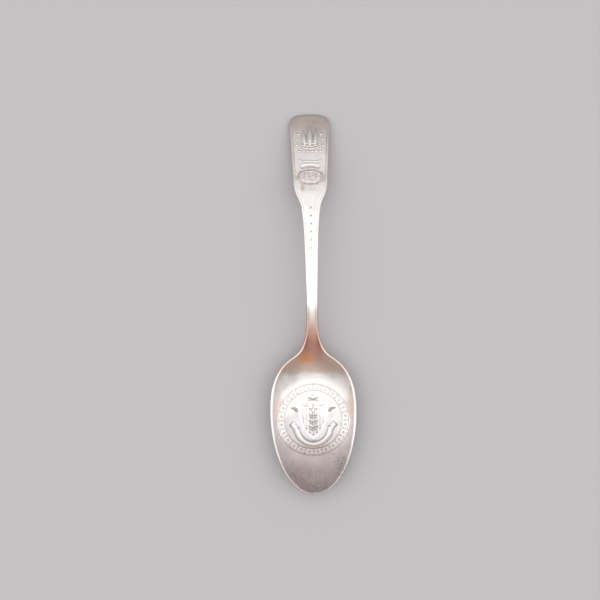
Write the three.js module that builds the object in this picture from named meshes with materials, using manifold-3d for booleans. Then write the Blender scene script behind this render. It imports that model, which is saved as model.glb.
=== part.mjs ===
// Souvenir teaspoon, 6 inches long: a struck oval bowl brazed to an arched handle with a flared
// fiddle end. Soldered on are a round medal in the bowl and small ornaments down the handle.
// Millimetres, +Z up. X runs across the spoon and Y along it, from the tip of the bowl to the
// end of the handle. The spoon stands as it lies on a table, on its bowl and its handle's end.
// The origin is under the middle of its length, on the table.
import * as THREE from 'three';
import Module from 'manifold-3d';
import { ParametricGeometry } from 'three/addons/geometries/ParametricGeometry.js';
import { mergeVertices } from 'three/addons/utils/BufferGeometryUtils.js';

// --- Driving dimensions. "Station" means the distance from the tip of the bowl, along Y. ---

const LENGTH = 152.4; // 6 inches
const BOWL_HALF_WIDTH = 17.2;
const BOWL_WIDEST = 32.8; // station of the widest and deepest point
const BOWL_SHOULDER_LENGTH = 23.9; // from there to where the oval would close on the handle side
const BOWL_SHOULDER_POWER = 2.52; // above 2, so the shoulders are fuller than an ellipse's
const BOWL_DEPTH = 6.95; // rim to floor, inside
const RIM_HEIGHT = 8.1; // above the table at the widest point
const TIP_LIFT = 0.35; // the rim rises this much towards the tip
const RIM_WIDTH = 0.8; // flat band round the bowl, and the bevel along the handle
const EDGE_DROP = 0.3; // how far that band rounds down to the outer edge
const EDGE_POWER = 1.5;
const SHOULDER_END = 53.4; // where the bowl's oval turns out into the neck's flare
const NECK = 60; // station of the brazed seam between bowl and handle
const FLOOR_THICKNESS = 1.42; // bowl floor, before wear on the table flattens its underside
const END_START = 122; // station where the straight, flat-backed handle end begins
const END_SLOPE = -0.268; // the handle end falls 15 degrees to the table
const END_THICKNESS = 1.6;
const END_CORNER_LENGTH = 5.4; // the rounded end of the handle is a quarter superellipse
const END_CORNER_POWER = 3;
const SOLDER_GAP = 0.1; // under every soldered ornament

const SILVER = { color: 0xd9d3cc, roughness: 0.28, metalness: 1 };
const WARM_SILVER = { color: 0xc9bdb2, roughness: 0.34, metalness: 1 };

// --- Curves through stations ---

// A smooth function of the station through [station, value] pairs, and straight beyond them.
// Each tangent is the mean of the two slopes beside it; the last can be given.
function through(pairs, lastSlope) {
  const slope = (i) => (pairs[i + 1][1] - pairs[i][1]) / (pairs[i + 1][0] - pairs[i][0]);
  const last = pairs.length - 1;
  const tangents = pairs.map((_, i) => {
    if (i === 0) return slope(0);
    if (i === last) return lastSlope ?? slope(last - 1);
    return (slope(i - 1) + slope(i)) / 2;
  });
  return (at) => {
    if (at <= pairs[0][0]) return pairs[0][1] + tangents[0] * (at - pairs[0][0]);
    if (at >= pairs[last][0]) return pairs[last][1] + tangents[last] * (at - pairs[last][0]);
    const i = pairs.findIndex(([station]) => station > at) - 1;
    const span = pairs[i + 1][0] - pairs[i][0];
    const t = (at - pairs[i][0]) / span;
    const rise = t * t * (3 - 2 * t);
    return pairs[i][1] * (1 - rise) + pairs[i + 1][1] * rise
      + span * t * (1 - t) * ((1 - t) * tangents[i] - t * tangents[i + 1]);
  };
}

// Height of the top surface down the middle, from the bowl's floor over the arch to the handle end.
const END_TOP = END_THICKNESS - END_SLOPE * (LENGTH - END_START);
const middleHeight = through([
  [BOWL_WIDEST, RIM_HEIGHT - BOWL_DEPTH], [38, 1.25], [42, 1.5], [46, 2.15], [50, 3.15], [54, 4.65],
  [58, 6.55], [62, 8.4], [66, 10], [70, 11.3], [76, 12.6], [84, 13.45], [92, 13.75],
  [100, 13.45], [108, 12.6], [115, 11.4], [END_START, END_TOP],
], END_SLOPE);

// How far the rim stands above the middle: the bowl's hollow runs out along the neck.
const hollow = through([
  [BOWL_WIDEST, BOWL_DEPTH], [38, 6.85], [42, 6.6], [46, 6], [50, 5.1], [54, 3.85],
  [58, 2.3], [62, 1.05], [66, 0.3], [70, 0], [76, 0],
], 0);

// Thickness down the middle and at the edge. The handle end is one even plate.
const thickness = through([
  [BOWL_WIDEST, FLOOR_THICKNESS], [40, 1.4], [46, 1.7], [50, 2.1], [54, 2.5], [58, 2.8],
  [62, 2.95], [66, 2.9], [76, 2.6], [92, 2.3], [108, 1.95], [END_START, END_THICKNESS],
], 0);
const edgeThickness = through([
  [BOWL_WIDEST, 0.9], [58, 1.2], [92, 1.3], [115, 1.4], [END_START, END_THICKNESS],
], 0);

// --- The spoon's surfaces ---

// Half width of the oval bowl on the handle side of its widest point.
function shoulderHalfWidth(at) {
  const t = (at - BOWL_WIDEST) / BOWL_SHOULDER_LENGTH;
  return BOWL_HALF_WIDTH * Math.sqrt(Math.max(0, 1 - t ** BOWL_SHOULDER_POWER));
}

// Half width of the neck's flare and the handle, up to the widest point of the fiddle end.
const handleHalfWidth = through([
  [SHOULDER_END, shoulderHalfWidth(SHOULDER_END)], [55.7, 6.5], [58.1, 4.5], [60.5, 3.5],
  [62.9, 2.92], [67.6, 2.46], [76, 2.3], [84, 2.42], [91, 2.61], [98, 2.84], [105.4, 3.18],
  [110.2, 3.5], [112.7, 3.8], [115.1, 4.25], [117.6, 5.18], [120, 6.16], [122.5, 6.65],
  [127.4, 7], [134.8, 7.44], [142.3, 7.83], [147, 8.08],
], 0);

// Half width of the whole spoon at a station.
function halfWidth(at) {
  if (at < BOWL_WIDEST) {
    const t = (BOWL_WIDEST - at) / BOWL_WIDEST;
    return BOWL_HALF_WIDTH * Math.sqrt(Math.max(0, 1 - t * t));
  }
  if (at < SHOULDER_END) return shoulderHalfWidth(at);
  const widest = LENGTH - END_CORNER_LENGTH;
  const corner = Math.max(0, at - widest) / END_CORNER_LENGTH;
  const rounding = Math.max(0, 1 - corner ** END_CORNER_POWER) ** (1 / END_CORNER_POWER);
  return handleHalfWidth(Math.min(at, widest)) * rounding;
}

// Distance inwards from the outline, measured square to it.
function edgeDistance(x, at) {
  if (at < BOWL_WIDEST) {
    const u = x / BOWL_HALF_WIDTH;
    const v = (BOWL_WIDEST - at) / BOWL_WIDEST;
    const radius = Math.hypot(u, v);
    if (radius < 1e-6) return BOWL_HALF_WIDTH;
    return (1 - radius) * radius / Math.hypot(u / BOWL_HALF_WIDTH, v / BOWL_WIDEST);
  }
  const step = 0.05;
  const lean = (halfWidth(at + step) - halfWidth(at - step)) / (2 * step);
  return (halfWidth(at) - Math.abs(x)) / Math.hypot(1, lean);
}

// The upper surface, before its edge is rounded down.
function dishHeight(x, at) {
  if (at < BOWL_WIDEST) {
    const t = (BOWL_WIDEST - at) / (BOWL_WIDEST - RIM_WIDTH);
    const radius2 = (x / (BOWL_HALF_WIDTH - RIM_WIDTH)) ** 2 + t * t;
    return RIM_HEIGHT + TIP_LIFT * t * t - BOWL_DEPTH * Math.max(0, 1 - radius2);
  }
  const inner = Math.max(0.4, halfWidth(at) - RIM_WIDTH);
  const across = Math.min(1, Math.abs(x) / inner);
  return middleHeight(at) + hollow(at) * across * across;
}

function topHeight(x, at) {
  const share = THREE.MathUtils.clamp(1 - edgeDistance(x, at) / RIM_WIDTH, 0, 1);
  return dishHeight(x, at) - EDGE_DROP * share ** EDGE_POWER;
}

function bottomHeight(x, at) {
  const edge = (station) => middleHeight(station) + hollow(station) - edgeThickness(station);
  if (at < BOWL_WIDEST) {
    const t = (BOWL_WIDEST - at) / BOWL_WIDEST;
    const radius2 = (x / BOWL_HALF_WIDTH) ** 2 + t * t;
    const depth = BOWL_DEPTH + FLOOR_THICKNESS - edgeThickness(BOWL_WIDEST);
    return Math.max(0, edge(BOWL_WIDEST) + TIP_LIFT * t * t - depth * Math.max(0, 1 - radius2));
  }
  const middle = middleHeight(at) - thickness(at);
  const across = halfWidth(at) > 0 ? Math.min(1, Math.abs(x) / halfWidth(at)) : 0;
  return Math.max(0, middle + (edge(at) - middle) * across * across);
}

// --- Solids ---

const wasm = await Module();
wasm.setup();

const place = (target, x, at, z) => target.set(x, at - LENGTH / 2, z);

// Position only, shared vertices merged, and the triangles that collapsed at a pole dropped.
function closed(geometry) {
  const bare = geometry.clone();
  bare.deleteAttribute('normal');
  bare.deleteAttribute('uv');
  const merged = mergeVertices(bare, 1e-4);
  const index = merged.index.array;
  const kept = [];
  for (let i = 0; i < index.length; i += 3) {
    const [a, b, c] = index.slice(i, i + 3);
    if (a !== b && b !== c && c !== a) kept.push(a, b, c);
  }
  merged.setIndex(kept);
  return merged;
}

function toSolid(geometry) {
  const merged = closed(geometry);
  return new wasm.Manifold(new wasm.Mesh({
    numProp: 3,
    vertProperties: merged.getAttribute('position').array,
    triVerts: new Uint32Array(merged.index.array),
  }));
}

function toGeometry(solid) {
  const mesh = solid.getMesh();
  const geometry = new THREE.BufferGeometry();
  geometry.setAttribute('position', new THREE.BufferAttribute(mesh.vertProperties, 3));
  geometry.setIndex(new THREE.BufferAttribute(mesh.triVerts, 1));
  geometry.computeVertexNormals();
  return geometry;
}

// The bowl's outline, tip to neck up the right side and back down the left, as [x, station].
function bowlOutline() {
  const right = [];
  const steps = 12;
  for (let i = 0; i < steps; i++) {
    const turn = (i / steps) * (Math.PI / 2);
    const at = BOWL_WIDEST * (1 - Math.cos(turn));
    right.push([BOWL_HALF_WIDTH * Math.sin(turn), at]);
  }
  const shoulder = NECK - BOWL_WIDEST;
  for (let i = 0; i <= steps; i++) {
    const share = i / steps;
    const at = BOWL_WIDEST + shoulder * share * (1.5 - 0.5 * share);
    right.push([halfWidth(at), at]);
  }
  const across = 3;
  for (let i = 1; i <= across; i++) {
    right.push([halfWidth(NECK) * (1 - i / across), NECK]);
  }
  const left = right.slice(1, -1).reverse().map(([x, at]) => [-x, at]);
  return [...right, ...left];
}

// Rings run out from under the deepest point, round the rim and back over the inside.
function bowlGeometry() {
  const outline = bowlOutline();
  const rings = 10;
  const surface = (u, v, target) => {
    const [x, at] = outline[Math.round(u * outline.length) % outline.length];
    const ring = Math.round(v * (2 * rings + 1));
    const onTop = ring > rings;
    const radius = Math.sin(((onTop ? 2 * rings + 1 - ring : ring) / rings) * (Math.PI / 2));
    const px = x * radius;
    const pat = BOWL_WIDEST + (at - BOWL_WIDEST) * radius;
    place(target, px, pat, onTop ? topHeight(px, pat) : bottomHeight(px, pat));
  };
  return new ParametricGeometry(surface, outline.length, 2 * rings + 1);
}

// Cross-sections from the seam to the end: top left to right, then underneath right to left.
function handleGeometry() {
  const across = 8;
  const straight = 38;
  const rounded = 6;
  const widest = LENGTH - END_CORNER_LENGTH;
  const station = (slice) => {
    if (slice <= straight) return NECK + (widest - NECK) * (slice / straight);
    return widest + END_CORNER_LENGTH * Math.sin(((slice - straight) / rounded) * (Math.PI / 2));
  };
  const around = 2 * (across + 1);
  const slices = straight + rounded + 1;
  const surface = (u, v, target) => {
    const slice = Math.round(v * slices);
    if (slice === 0) {
      place(target, 0, NECK, middleHeight(NECK) - thickness(NECK) / 2);
      return;
    }
    const at = station(slice - 1);
    const step = Math.round(u * around) % around;
    const onTop = step <= across;
    const share = (onTop ? step : around - 1 - step) / across;
    const x = -halfWidth(at) * Math.cos(share * Math.PI);
    place(target, x, at, onTop ? topHeight(x, at) : bottomHeight(x, at));
  };
  return new ParametricGeometry(surface, around, slices);
}

// Everything below the spoon's upper surface raised by lift, over a box of stations and widths.
function ground(lift, halfSpan, across, from, to, along) {
  const base = -20;
  const around = 2 * (across + 1);
  const surface = (u, v, target) => {
    const slice = Math.round(v * (along + 2));
    const at = from + (to - from) * THREE.MathUtils.clamp((slice - 1) / along, 0, 1);
    if (slice === 0 || slice === along + 2) {
      place(target, 0, at, base / 2);
      return;
    }
    const stepAround = Math.round(u * around) % around;
    const onTop = stepAround <= across;
    const share = (onTop ? stepAround : around - 1 - stepAround) / across;
    const x = halfSpan * (2 * share - 1);
    place(target, x, at, onTop ? dishHeight(x, at) + lift : base);
  };
  return toSolid(new ParametricGeometry(surface, around, along + 2));
}

const bowlGround = (lift) => ground(lift, 15, 12, 15, 45, 12);
const handleGround = (lift) => ground(lift, 7, 1, 90, 150, 20);

// A flat outline drawn in [x, station] as a tall prism.
function prism(shape) {
  const low = -10;
  const extruded = new THREE.ExtrudeGeometry(shape, { depth: 40, bevelEnabled: false });
  extruded.translate(0, -LENGTH / 2, low);
  return toSolid(extruded);
}

// The outline's prism between two heights above the surface: a plate that follows the metal.
function plate(shape, groundAt, height, from = SOLDER_GAP) {
  return prism(shape).intersect(groundAt(from + height)).subtract(groundAt(from));
}

// --- Outlines ---

const oval = (x, at, halfX, halfY, corners) => (
  new THREE.EllipseCurve(x, at, halfX, halfY).getPoints(corners).slice(0, -1)
);

function ellipse(x, at, halfX, halfY, corners = 16) {
  return new THREE.Shape(oval(x, at, halfX, halfY, corners));
}

function ringShape(at, outer, inner) {
  const corners = 40;
  const ring = new THREE.Shape(oval(0, at, outer, outer, corners));
  ring.holes.push(new THREE.Path(oval(0, at, inner, inner, corners).reverse()));
  return ring;
}

// A closed shape from one side's points, [x, station], mirrored across the middle.
function mirrored(points) {
  const left = points.filter(([x]) => x > 0).reverse().map(([x, at]) => [-x, at]);
  return new THREE.Shape([...points, ...left].map(([x, at]) => new THREE.Vector2(x, at)));
}

function box(x, at, halfX, halfY, turn = 0) {
  const corners = [[-halfX, -halfY], [halfX, -halfY], [halfX, halfY], [-halfX, halfY]];
  const middle = new THREE.Vector2(x, at);
  return new THREE.Shape(corners.map(([dx, dy]) => (
    new THREE.Vector2(x + dx, at + dy).rotateAround(middle, turn)
  )));
}

// --- The medal in the bowl ---

const MEDAL_AT = 29.1;
const MEDAL_RADIUS = 14.4;
const MEDAL_INNER_RADIUS = 11.4;
const MEDAL_BARS = 24; // radial bars round the border

function medalBorder() {
  const band = plate(ringShape(MEDAL_AT, MEDAL_RADIUS, MEDAL_INNER_RADIUS), bowlGround, 0.15);
  const outer = plate(ringShape(MEDAL_AT, MEDAL_RADIUS, MEDAL_RADIUS - 0.5), bowlGround, 0.4);
  const inner = plate(ringShape(MEDAL_AT, MEDAL_INNER_RADIUS + 0.4, MEDAL_INNER_RADIUS), bowlGround, 0.35);
  const radius = (MEDAL_RADIUS + MEDAL_INNER_RADIUS) / 2;
  const top = bowlGround(SOLDER_GAP + 0.35);
  let bars = null;
  for (let i = 0; i < MEDAL_BARS; i++) {
    const turn = (2 * Math.PI * i) / MEDAL_BARS;
    const bar = prism(box(radius * Math.sin(turn), MEDAL_AT + radius * Math.cos(turn), 0.35, 0.85, -turn));
    bars = bars ? bars.add(bar) : bar;
  }
  const raised = bars.intersect(top).subtract(bowlGround(SOLDER_GAP));
  return band.add(outer).add(inner).add(raised);
}

const SHIELD_HEIGHT = 0.3;
const shieldShape = mirrored([
  [0, 35.5], [2.6, 34.8], [5.2, 35.7], [5.9, 33.7], [5.5, 29.5], [4.3, 25.7], [2.4, 22.7], [0, 20.9],
]);

const sprigShape = mirrored([
  [0, 34.1], [0.9, 32.5], [2.1, 31.7], [1.5, 29.3], [1.9, 26.7], [0.5, 25.3], [0.4, 23.1], [0, 22.9],
]);

// An even strip along a smooth line through points.
function strip(points, half, steps) {
  const line = new THREE.SplineCurve(points).getPoints(steps);
  const side = (offset) => line.map((point, i) => {
    const ahead = line[Math.min(i + 1, line.length - 1)].clone().sub(line[Math.max(i - 1, 0)]).normalize();
    return new THREE.Vector2(point.x - ahead.y * offset, point.y + ahead.x * offset);
  });
  return new THREE.Shape([...side(-half), ...side(half).reverse()]);
}

// The ribbon under the shield: a U whose two ends turn outwards.
function ribbonShape() {
  const bend = 7.1;
  const low = 19.4;
  const tail = new THREE.Vector2(bend + 1.5, low + 8.6);
  const middle = [];
  const steps = 8;
  for (let i = -steps; i <= steps; i++) {
    const turn = (i / steps) * 1.35;
    middle.push(new THREE.Vector2(bend * Math.sin(turn), low + 8.2 * (1 - Math.cos(turn))));
  }
  return strip([new THREE.Vector2(-tail.x, tail.y), ...middle, tail], 0.95, 24);
}

// A short curved stroke beside the shield's shoulder.
function strokeShape(side) {
  const points = [[8.9, 34.1], [7.7, 33.9], [6.8, 33.3], [6.2, 32.5]];
  return strip(points.map(([x, at]) => new THREE.Vector2(side * x, at)), 0.42, 12);
}

function medalCrest() {
  const torse = plate(box(0, 36.85, 2.2, 0.4), bowlGround, 0.35);
  const dome = plate(ellipse(0, 38.1, 1.1, 1.15), bowlGround, 0.45);
  return torse.add(dome);
}

// --- Ornaments on the handle ---

// Three upright leaves on a curved foot.
function palmette() {
  const leaf = (x, at, halfX, halfY) => plate(ellipse(x, at, halfX, halfY), handleGround, 0.4);
  const foot = mirrored([[0, 138.4], [2.6, 138.9], [3.6, 138.1], [3.2, 137], [1.4, 136.4], [0, 136.2]]);
  return leaf(0, 142.6, 1.1, 4.6)
    .add(leaf(-2.4, 141.9, 1, 3.9))
    .add(leaf(2.4, 141.9, 1, 3.9))
    .add(plate(foot, handleGround, 0.35));
}

const STUD_RADIUS = 0.5;
const STUD_PLACES = [[4.6, 143.8], [5.3, 141.7], [5.3, 139.2], [4.2, 136.7]];
const studShape = (x, at) => ellipse(x, at, STUD_RADIUS, STUD_RADIUS, 8);

// A blank banner: a long upper fold over a shorter, arched lower one.
function banner() {
  const upper = mirrored([[0, 133], [2.6, 133], [4.5, 133.7], [4.5, 132.3], [2.6, 131.6], [0, 131.6]]);
  const lower = mirrored([[0, 131.9], [3.4, 131.2], [3.4, 129.7], [0, 130.4]]);
  return plate(upper, handleGround, 0.25).add(plate(lower, handleGround, 0.4));
}

const CARTOUCHE_AT = 125.9;
const CARTOUCHE_HALF = [4.8, 2.8];

function cartouche() {
  const [halfX, halfY] = CARTOUCHE_HALF;
  const frame = plate(ellipse(0, CARTOUCHE_AT, halfX, halfY), handleGround, 0.25);
  const relief = plate(ellipse(0, CARTOUCHE_AT, halfX - 1, halfY - 0.9), handleGround, 0.45);
  return frame.add(relief);
}

const cartoucheBar = box(0, 121.2, 1.9, 0.35);

const LOZENGE_STATIONS = [113, 109.8, 106.6, 103.4, 100.2, 97, 93.8];
const LOZENGE_HALF = [0.7, 1.15];

function lozengeShape(at) {
  const [halfX, halfY] = LOZENGE_HALF;
  return mirrored([[0, at + halfY], [halfX, at], [0, at - halfY]]);
}

// --- The scene graph ---

function addMesh(group, name, geometry, finish) {
  const mesh = new THREE.Mesh(geometry, new THREE.MeshStandardMaterial(finish));
  mesh.name = name;
  group.add(mesh);
}

const addOrnament = (group, name, solid) => addMesh(group, name, toGeometry(solid), WARM_SILVER);

function medal() {
  const group = new THREE.Group();
  addOrnament(group, 'medal_border', medalBorder());
  addOrnament(group, 'medal_shield', plate(shieldShape, bowlGround, SHIELD_HEIGHT));
  addOrnament(group, 'medal_sprig', plate(sprigShape, bowlGround, 0.4, 2 * SOLDER_GAP + SHIELD_HEIGHT));
  addOrnament(group, 'medal_ribbon', plate(ribbonShape(), bowlGround, 0.4));
  addOrnament(group, 'medal_stroke_right', plate(strokeShape(1), bowlGround, 0.4));
  addOrnament(group, 'medal_stroke_left', plate(strokeShape(-1), bowlGround, 0.4));
  addOrnament(group, 'medal_crest', medalCrest());
  return group;
}

function crest() {
  const group = new THREE.Group();
  addOrnament(group, 'crest_palmette', palmette());
  STUD_PLACES.forEach(([x, at], i) => {
    addOrnament(group, `crest_stud_right_${i + 1}`, plate(studShape(x, at), handleGround, 0.35));
    addOrnament(group, `crest_stud_left_${i + 1}`, plate(studShape(-x, at), handleGround, 0.35));
  });
  return group;
}

function stemOrnaments() {
  const group = new THREE.Group();
  addOrnament(group, 'blank_banner', banner());
  addOrnament(group, 'oval_cartouche', cartouche());
  addOrnament(group, 'cartouche_bar', plate(cartoucheBar, handleGround, 0.25));
  LOZENGE_STATIONS.forEach((at, i) => {
    addOrnament(group, `stem_lozenge_${i + 1}`, plate(lozengeShape(at), handleGround, 0.25));
  });
  return group;
}

const spoon = new THREE.Group();
spoon.name = 'souvenir_spoon';
addMesh(spoon, 'bowl', closed(bowlGeometry()), SILVER);
addMesh(spoon, 'handle', closed(handleGeometry()), SILVER);
spoon.add(medal(), crest(), stemOrnaments());

export default spoon;
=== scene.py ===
"""Looks of the souvenir teaspoon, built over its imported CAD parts.

Inside the script lengths are millimetres. A station is the distance from the tip of the bowl along
the spoon, and in_frame() turns (across, station, height) into the frame's metres.
"""

import math

import bmesh
import bpy
import numpy as np
from mathutils import Matrix, Vector


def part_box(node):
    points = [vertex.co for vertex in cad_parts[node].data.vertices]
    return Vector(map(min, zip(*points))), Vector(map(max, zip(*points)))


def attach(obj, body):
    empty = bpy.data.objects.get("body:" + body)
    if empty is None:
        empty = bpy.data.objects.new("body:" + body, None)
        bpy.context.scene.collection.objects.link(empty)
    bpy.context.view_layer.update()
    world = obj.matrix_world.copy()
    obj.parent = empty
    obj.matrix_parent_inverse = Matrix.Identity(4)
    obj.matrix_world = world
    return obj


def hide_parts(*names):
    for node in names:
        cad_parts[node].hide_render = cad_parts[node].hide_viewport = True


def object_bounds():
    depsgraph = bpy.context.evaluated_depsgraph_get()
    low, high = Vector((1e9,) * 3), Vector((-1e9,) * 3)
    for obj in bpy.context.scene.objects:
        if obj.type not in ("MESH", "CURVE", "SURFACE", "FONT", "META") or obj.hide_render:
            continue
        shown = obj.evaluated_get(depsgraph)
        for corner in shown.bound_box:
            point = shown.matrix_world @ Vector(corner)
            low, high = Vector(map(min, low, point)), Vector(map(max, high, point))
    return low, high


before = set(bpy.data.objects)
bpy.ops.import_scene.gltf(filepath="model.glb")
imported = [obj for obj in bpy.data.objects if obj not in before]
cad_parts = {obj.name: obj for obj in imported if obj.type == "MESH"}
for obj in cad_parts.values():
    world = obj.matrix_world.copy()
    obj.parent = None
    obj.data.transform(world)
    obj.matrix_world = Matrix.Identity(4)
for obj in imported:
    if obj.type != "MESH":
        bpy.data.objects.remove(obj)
cad_low, cad_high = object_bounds()

# --- Driving dimensions, from the frame ---

MM = 0.001
bowl_low, bowl_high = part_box("bowl")
_, handle_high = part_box("handle")

LENGTH = (cad_high.y - cad_low.y) / MM
BOWL_HALF_WIDTH = bowl_high.x / MM
NECK = (bowl_high.y - bowl_low.y) / MM  # station of the seam between bowl and handle
END_HALF_WIDTH = handle_high.x / MM
ARCH_HEIGHT = handle_high.z / MM

BOWL_WIDEST = 32.8  # station of the widest and deepest point
BOWL_SHOULDER_LENGTH = 23.9
BOWL_SHOULDER_POWER = 2.52
SHOULDER_END = 53.4  # station where the oval turns out into the neck's flare
BOWL_DEPTH = 6.95
RIM_HEIGHT = 8.1
TIP_LIFT = 0.35
RIM_WIDTH = 0.8
RIM_FALL = 0.22  # the rim band slopes down this much to its outer edge
EDGE_ROUND = 0.4  # radius that the outer edge is rounded to
EDGE_ZONE = 2  # how far in from the outline the mesh follows it in rings
GROOVE_INSET = 1.0  # how far in from the handle's outline its groove runs
GROOVE_DEPTH = 0.15
GROOVE_WIDTH = 0.18
FLOOR_THICKNESS = 1.42
END_START = 122
END_SLOPE = -0.268
END_THICKNESS = 1.6
END_CORNER_LENGTH = 5.4
END_CORNER_POWER = 3
END_WIDEST = LENGTH - END_CORNER_LENGTH


def station_of(y):
    """The station of a frame coordinate."""
    return (y - cad_low.y) / MM


# --- Curves through stations ---


def clamped_spline(pairs, first_slope, last_slope):
    """A function of the station with no kink in its curvature, through (station, value) pairs."""
    at, value = np.array(pairs, float).T
    span = np.diff(at)
    slope = np.diff(value) / span
    count = len(at)
    matrix = np.eye(count)
    right = np.empty(count)
    right[0], right[-1] = first_slope, last_slope
    for i in range(1, count - 1):
        matrix[i, i - 1 : i + 2] = span[i], 2 * (span[i - 1] + span[i]), span[i - 1]
        right[i] = 3 * (span[i] * slope[i - 1] + span[i - 1] * slope[i])
    tangent = np.linalg.solve(matrix, right)

    def curve(station):
        inside = np.clip(station, at[0], at[-1])
        i = np.clip(np.searchsorted(at, inside, side="right") - 1, 0, count - 2)
        t = (inside - at[i]) / span[i]
        rise = t * t * (3 - 2 * t)
        smooth = span[i] * t * (1 - t) * ((1 - t) * tangent[i] - t * tangent[i + 1])
        before = first_slope * (np.minimum(station, at[0]) - at[0])
        after = last_slope * (np.maximum(station, at[-1]) - at[-1])
        return value[i] * (1 - rise) + value[i + 1] * rise + smooth + before + after

    return curve


END_TOP = END_THICKNESS - END_SLOPE * (LENGTH - END_START)
middle_height = clamped_spline(
    [
        (BOWL_WIDEST, RIM_HEIGHT - BOWL_DEPTH), (38, 1.25), (42, 1.5), (46, 2.15), (50, 3.15), (54, 4.65),
        (58, 6.55), (62, 8.4), (66, 10), (70, 11.3), (76, 12.6), (84, 13.45), (92, ARCH_HEIGHT),
        (100, 13.45), (108, 12.6), (115, 11.4), (END_START, END_TOP),
    ],
    0, END_SLOPE,
)
hollow = clamped_spline(
    [
        (BOWL_WIDEST, BOWL_DEPTH), (38, 6.85), (42, 6.6), (46, 6), (50, 5.1), (54, 3.85),
        (58, 2.3), (62, 1.05), (66, 0.3), (70, 0), (76, 0),
    ],
    0, 0,
)
thickness = clamped_spline(
    [
        (BOWL_WIDEST, FLOOR_THICKNESS), (40, 1.4), (46, 1.7), (50, 2.1), (54, 2.5), (58, 2.8),
        (62, 2.95), (66, 2.9), (76, 2.6), (92, 2.3), (108, 1.95), (END_START, END_THICKNESS),
    ],
    0, 0,
)
edge_thickness = clamped_spline(
    [(BOWL_WIDEST, 0.9), (58, 1.2), (92, 1.3), (115, 1.4), (END_START, END_THICKNESS)],
    0, 0,
)


def smooth_step(value, low, high):
    t = np.clip((value - low) / (high - low), 0, 1)
    return t * t * (3 - 2 * t)


# --- The spoon's surfaces ---


def shoulder_half_width(at):
    t = np.clip((at - BOWL_WIDEST) / BOWL_SHOULDER_LENGTH, 0, 1)
    return BOWL_HALF_WIDTH * np.sqrt(1 - t**BOWL_SHOULDER_POWER)


def shoulder_slope(at, step=0.01):
    return (shoulder_half_width(at + step) - shoulder_half_width(at - step)) / (2 * step)


handle_half_width = clamped_spline(
    [
        (SHOULDER_END, shoulder_half_width(SHOULDER_END)), (55.7, 6.5), (58.1, 4.5), (60.5, 3.5),
        (62.9, 2.92), (67.6, 2.46), (76, 2.3), (84, 2.42), (91, 2.61), (98, 2.84), (105.4, 3.18),
        (110.2, 3.5), (112.7, 3.8), (115.1, 4.25), (117.6, 5.18), (120, 6.16), (122.5, 6.65),
        (127.4, 7), (134.8, 7.44), (142.3, 7.83), (END_WIDEST, END_HALF_WIDTH),
    ],
    shoulder_slope(SHOULDER_END), 0,
)


def half_width(at):
    """Half width of the whole spoon at a station."""
    at = np.asarray(at, float)
    tip = np.clip((BOWL_WIDEST - at) / BOWL_WIDEST, 0, 1)
    corner = np.clip((at - END_WIDEST) / END_CORNER_LENGTH, 0, 1)
    rounding = (1 - corner**END_CORNER_POWER) ** (1 / END_CORNER_POWER)
    handle = handle_half_width(np.clip(at, SHOULDER_END, END_WIDEST)) * rounding
    bowl = np.where(at < BOWL_WIDEST, BOWL_HALF_WIDTH * np.sqrt(1 - tip**2), shoulder_half_width(at))
    return np.where(at < SHOULDER_END, bowl, handle)


def lean(at, step=0.02):
    """How fast the outline widens along the spoon, away from its two round ends."""
    inside = np.clip(at, 8, END_WIDEST - step)
    return (half_width(inside + step) - half_width(inside - step)) / (2 * step)


def inward(at):
    """The direction into the metal, square to the outline, as (across, along), for the right side."""
    x = half_width(at)
    tip = np.stack([-x / BOWL_HALF_WIDTH**2, (BOWL_WIDEST - at) / BOWL_WIDEST**2], -1)
    corner = np.clip((at - END_WIDEST) / END_CORNER_LENGTH, 0, 1)
    end = np.stack([-((x / END_HALF_WIDTH) ** 2) / END_HALF_WIDTH, -(corner**2) / END_CORNER_LENGTH], -1)
    square = np.where((at < BOWL_WIDEST)[:, None], tip, end)
    square = square / np.linalg.norm(square, axis=-1, keepdims=True)
    sideways = np.stack([-np.hypot(1, lean(at)), np.zeros_like(x)], -1)
    straight = smooth_step(at, 12, 24) * (1 - smooth_step(at, END_WIDEST - 6, END_WIDEST))
    return square + (sideways - square) * straight[:, None]


def rim_plane(at):
    """Height of the rim band: flat over the bowl and one with the middle along the handle."""
    tip = np.clip(BOWL_WIDEST - at, 0, None) / (BOWL_WIDEST - RIM_WIDTH)
    along = np.maximum(at, BOWL_WIDEST)
    return middle_height(along) + hollow(along) + TIP_LIFT * tip**2


def lower_of(a, b, blend):
    """The smaller of two heights, with a fillet where they meet."""
    overlap = np.clip(blend - np.abs(a - b), 0, None) / blend
    return np.minimum(a, b) - overlap**2 * blend / 4


def dish(x, at):
    """The upper surface away from its outer edge."""
    tip = np.clip(BOWL_WIDEST - at, 0, None) / (BOWL_WIDEST - RIM_WIDTH)
    along = np.maximum(at, BOWL_WIDEST)
    inner = np.maximum(0.4, half_width(along) - RIM_WIDTH * np.hypot(1, lean(along)))
    deep = hollow(along)
    floor = middle_height(along) + TIP_LIFT * tip**2 + deep * ((x / inner) ** 2 + tip**2)
    return lower_of(floor, rim_plane(at), 0.02 + 0.25 * smooth_step(deep, 0, 1.5))


def edge_round(depth_in, height):
    """How far a rounded edge of that height has fallen, this far in from the outline."""
    share = np.clip(1 - depth_in / EDGE_ROUND, 0, 1)
    return height * (1 - np.sqrt(1 - share**2))


def thread_groove(at, depth_in):
    """Depth of the fine groove that runs down both sides of the handle just inside its edge."""
    along = smooth_step(at, 62, 72) * (1 - smooth_step(at, 144, 149.5))
    return GROOVE_DEPTH * along * np.exp(-(((depth_in - GROOVE_INSET) / GROOVE_WIDTH) ** 2))


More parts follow.
